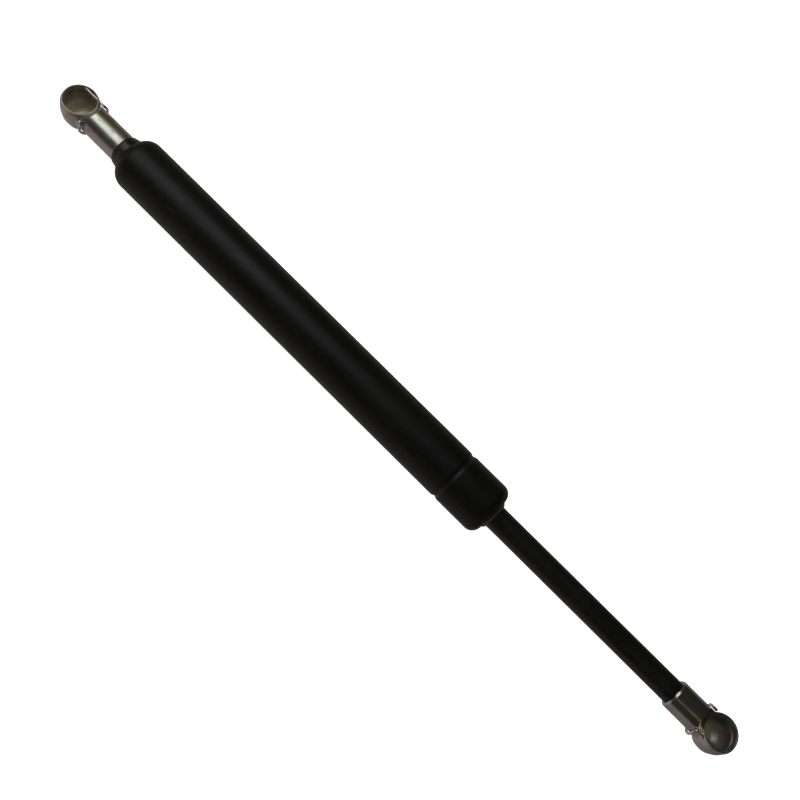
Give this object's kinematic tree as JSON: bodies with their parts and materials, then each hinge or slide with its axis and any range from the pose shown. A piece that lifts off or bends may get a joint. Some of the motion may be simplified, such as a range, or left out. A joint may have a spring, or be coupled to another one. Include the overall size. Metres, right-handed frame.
{
  "type": "gas strut stay",
  "caption": "Gas strut stay with a black painted gas cylinder, a sliding rod and plated ball sockets with wire clips at both ends, for holding a window, shutter or lid open.",
  "frame": {"origin": "centre of the ball that the tube-end socket takes", "axes": "+X runs along the strut from the tube end to the rod end, +Z points out of the mouths of both ball sockets"},
  "size_m": [0.2913, 0.018, 0.018],
  "materials": {
    "black_paint": "satin black paint",
    "blackened_steel": "blackened turned steel",
    "black_rod": "black nitrided and polished steel",
    "zinc_plate": "turned steel with iridescent zinc plating",
    "spring_wire": "drawn spring steel wire",
    "bright_steel": "stamped steel",
    "zinc_casting": "sintered metal",
    "bush_bronze": "lined bearing bronze",
    "seal_rubber": "moulded nitrile rubber",
    "guide_plastic": "moulded filled nylon",
    "stop_nylon": "natural nylon"
  },
  "bodies": {
    "barrel": {"cylinder_tube": "black_paint", "end_plug": "blackened_steel", "plug_o_ring": "seal_rubber", "tube_end_socket": "zinc_plate", "extension_stop_ring": "stop_nylon", "seal_retainer_washer": "bright_steel", "rod_seal": "seal_rubber", "seal_support_washer": "bright_steel", "rod_guide": "guide_plastic", "guide_o_ring": "seal_rubber", "guide_bush": "bush_bronze", "rod_wiper": "seal_rubber", "end_washer": "blackened_steel"},
    "piston_seal": {"piston_ring": "seal_rubber"},
    "rod": {"piston_rod": "black_rod", "piston_front_washer": "bright_steel", "damping_disc": "bright_steel", "piston_body": "zinc_casting", "piston_back_washer": "bright_steel", "rod_end_socket": "zinc_plate"},
    "tube_end_wire": {"tube_end_clip": "spring_wire"},
    "rod_end_wire": {"rod_end_clip": "spring_wire"}
  },
  "joints": [
    {"name": "rod_slide", "type": "slide", "parent": "barrel", "child": "piston_seal", "axis": [1, 0, 0], "range_m": [-0.07, 0], "stiffness_N_per_m": 600, "springref_m": 0.25},
    {"name": "rod_turn", "type": "hinge", "parent": "piston_seal", "child": "rod", "pos_m": [0.2, 0, 0], "axis": [1, 0, 0], "continuous": true},
    {"name": "tube_end_clip_release", "type": "slide", "parent": "barrel", "child": "tube_end_wire", "axis": [1, 0, 0], "range_m": [0, 0.0066], "stiffness_N_per_m": 400, "springref_m": -0.002},
    {"name": "rod_end_clip_release", "type": "slide", "parent": "rod", "child": "rod_end_wire", "axis": [-1, 0, 0], "range_m": [0, 0.0066], "stiffness_N_per_m": 400, "springref_m": -0.002}
  ]
}
